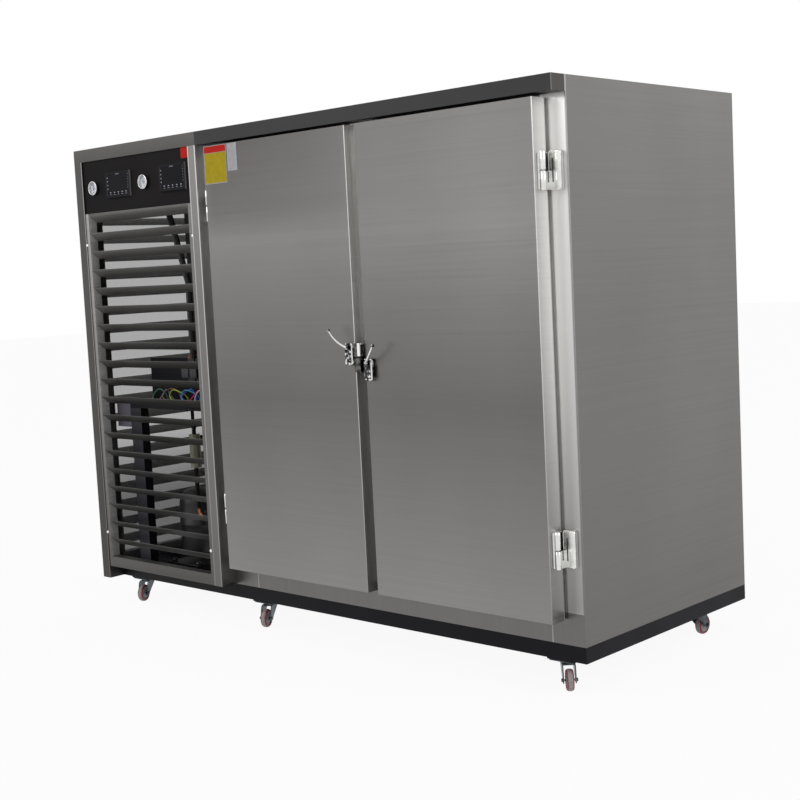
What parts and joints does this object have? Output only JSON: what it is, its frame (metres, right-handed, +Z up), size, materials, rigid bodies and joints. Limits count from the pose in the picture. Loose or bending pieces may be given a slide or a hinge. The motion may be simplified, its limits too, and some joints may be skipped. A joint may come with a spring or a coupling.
{
  "type": "blast chiller",
  "caption": "Two-door stainless steel blast chiller cabinet on casters, with refrigerated shelves inside and a louvred machine bay with gauges and controllers on its left.",
  "frame": {"origin": "on the floor, under the middle of the whole part", "axes": "+X to the right seen from the doors' side, +Y to the back, +Z up"},
  "size_m": [2.6, 1.1863, 2.0047],
  "materials": {
    "brushed_steel": "satin",
    "polished_steel": "bright satin",
    "door_steel": "vertical brushed",
    "black_paint": "semi-gloss",
    "foam": "matte",
    "gasket_rubber": "matte",
    "aluminium": "mill finish",
    "chrome": "polished",
    "zinc_plate": "bright plated",
    "wheel_tread": "satin",
    "controller_plastic": "satin",
    "gauge_steel": "polished",
    "gauge_glass": "clear",
    "needle_black": "matte",
    "grille_steel": "satin",
    "screen_mesh": "fine wire mesh",
    "compressor_black": "semi-gloss",
    "condenser_fins": "matte",
    "fan_steel": "semi-gloss",
    "motor_black": "semi-gloss",
    "receiver_paint": "semi-gloss",
    "copper": "satin",
    "switch_plastic": "matte",
    "conduit_black": "matte",
    "gland_plastic": "matte"
  },
  "bodies": {
    "cabinet": {"base_frame": "black_paint", "caster_top_plates": "zinc_plate", "chamber_outer_panels": "polished_steel", "roof_panels": "polished_steel", "front_frame": "brushed_steel", "top_fascia": "black_paint", "foam_insulation": "foam", "inner_liner": "polished_steel", "shelf_uprights": "aluminium", "evaporator_shelves": "aluminium", "frame_hinge_leaves": "chrome", "latch_keepers": "brushed_steel", "bay_frame": "brushed_steel", "control_panel": "black_paint", "controller_housings": "controller_plastic", "gauge_cases": "gauge_steel", "gauge_lenses": "gauge_glass", "front_grille": "grille_steel", "side_grille": "grille_steel", "side_dust_screen": "screen_mesh", "rear_grille": "grille_steel", "compressors": "compressor_black", "condenser_coil": "condenser_fins", "fan_shroud": "fan_steel", "fan_motor": "motor_black", "receiver_and_drier": "receiver_paint", "refrigerant_pipes": "copper", "electrical_shelf": "black_paint", "contactors": "switch_plastic", "wiring_conduit": "conduit_black", "cable_gland": "gland_plastic"},
    "left_door": {"left_door_skin": "door_steel", "left_door_foam": "foam", "left_door_liner": "door_steel", "left_door_gasket": "gasket_rubber", "left_door_hinge_leaves": "chrome", "left_door_latch_case": "chrome"},
    "left_latch": {"left_latch_lever": "chrome"},
    "right_door": {"right_door_skin": "door_steel", "right_door_foam": "foam", "right_door_liner": "door_steel", "right_door_gasket": "gasket_rubber", "right_door_hinge_leaves": "chrome", "right_door_latch_case": "chrome"},
    "right_latch": {"right_latch_lever": "chrome"},
    "fork_front_left": {"fork_front_left": "zinc_plate"},
    "wheel_front_left": {"wheel_front_left": "wheel_tread"},
    "fork_front_middle": {"fork_front_middle": "zinc_plate"},
    "wheel_front_middle": {"wheel_front_middle": "wheel_tread"},
    "fork_front_right": {"fork_front_right": "zinc_plate"},
    "wheel_front_right": {"wheel_front_right": "wheel_tread"},
    "fork_rear_left": {"fork_rear_left": "zinc_plate"},
    "wheel_rear_left": {"wheel_rear_left": "wheel_tread"},
    "fork_rear_middle": {"fork_rear_middle": "zinc_plate"},
    "wheel_rear_middle": {"wheel_rear_middle": "wheel_tread"},
    "fork_rear_right": {"fork_rear_right": "zinc_plate"},
    "wheel_rear_right": {"wheel_rear_right": "wheel_tread"},
    "needle_left": {"gauge_needle_left": "needle_black"},
    "needle_right": {"gauge_needle_right": "needle_black"},
    "fan": {"condenser_fan": "fan_steel"}
  },
  "joints": [
    {"name": "left_door_hinge", "type": "hinge", "parent": "cabinet", "child": "left_door", "pos_m": [-0.424, -0.521, 1.09], "axis": [0, 0, -1], "range_deg": [0, 110]},
    {"name": "right_door_hinge", "type": "hinge", "parent": "cabinet", "child": "right_door", "pos_m": [1.242, -0.521, 1.09], "axis": [0, 0, 1], "range_deg": [0, 110]},
    {"name": "left_latch_turn", "type": "hinge", "parent": "left_door", "child": "left_latch", "pos_m": [0.362, -0.56, 1.15], "axis": [0, -1, 0], "range_deg": [0, 90]},
    {"name": "right_latch_turn", "type": "hinge", "parent": "right_door", "child": "right_latch", "pos_m": [0.456, -0.56, 1.095], "axis": [0, 1, 0], "range_deg": [0, 90]},
    {"name": "swivel_front_left", "type": "hinge", "parent": "cabinet", "child": "fork_front_left", "pos_m": [-1.132, -0.427, 0.092], "axis": [0, 0, 1], "continuous": true},
    {"name": "roll_front_left", "type": "hinge", "parent": "fork_front_left", "child": "wheel_front_left", "pos_m": [-1.11509, -0.46325, 0.0375], "axis": [0.9063, 0.4226, 0], "continuous": true},
    {"name": "swivel_front_middle", "type": "hinge", "parent": "cabinet", "child": "fork_front_middle", "pos_m": [-0.304, -0.427, 0.092], "axis": [0, 0, 1], "continuous": true},
    {"name": "roll_front_middle", "type": "hinge", "parent": "fork_front_middle", "child": "wheel_front_middle", "pos_m": [-0.28709, -0.46325, 0.0375], "axis": [0.9063, 0.4226, 0], "continuous": true},
    {"name": "swivel_front_right", "type": "hinge", "parent": "cabinet", "child": "fork_front_right", "pos_m": [1.193, -0.427, 0.092], "axis": [0, 0, 1], "continuous": true},
    {"name": "roll_front_right", "type": "hinge", "parent": "fork_front_right", "child": "wheel_front_right", "pos_m": [1.22028, -0.45625, 0.0375], "axis": [0.7314, 0.682, 0], "continuous": true},
    {"name": "swivel_rear_left", "type": "hinge", "parent": "cabinet", "child": "fork_rear_left", "pos_m": [-1.132, 0.343, 0.092], "axis": [0, 0, 1], "continuous": true},
    {"name": "roll_rear_left", "type": "hinge", "parent": "fork_rear_left", "child": "wheel_rear_left", "pos_m": [-1.132, 0.383, 0.0375], "axis": [-1, 0, 0], "continuous": true},
    {"name": "swivel_rear_middle", "type": "hinge", "parent": "cabinet", "child": "fork_rear_middle", "pos_m": [-0.304, 0.343, 0.092], "axis": [0, 0, 1], "continuous": true},
    {"name": "roll_rear_middle", "type": "hinge", "parent": "fork_rear_middle", "child": "wheel_rear_middle", "pos_m": [-0.304, 0.383, 0.0375], "axis": [-1, 0, 0], "continuous": true},
    {"name": "swivel_rear_right", "type": "hinge", "parent": "cabinet", "child": "fork_rear_right", "pos_m": [1.224, 0.343, 0.092], "axis": [0, 0, 1], "continuous": true},
    {"name": "roll_rear_right", "type": "hinge", "parent": "fork_rear_right", "child": "wheel_rear_right", "pos_m": [1.224, 0.383, 0.0375], "axis": [-1, 0, 0], "continuous": true},
    {"name": "needle_left_turn", "type": "hinge", "parent": "cabinet", "child": "needle_left", "pos_m": [-1.168, -0.5435, 1.835], "axis": [0, -1, 0], "range_deg": [-130, 130], "stiffness_Nm_per_rad": 0.001},
    {"name": "needle_right_turn", "type": "hinge", "parent": "cabinet", "child": "needle_right", "pos_m": [-0.81, -0.5435, 1.835], "axis": [0, -1, 0], "range_deg": [-130, 130], "stiffness_Nm_per_rad": 0.001},
    {"name": "fan_spin", "type": "hinge", "parent": "cabinet", "child": "fan", "pos_m": [-0.85, 0.153, 1.39], "axis": [0, 1, 0], "continuous": true}
  ]
}
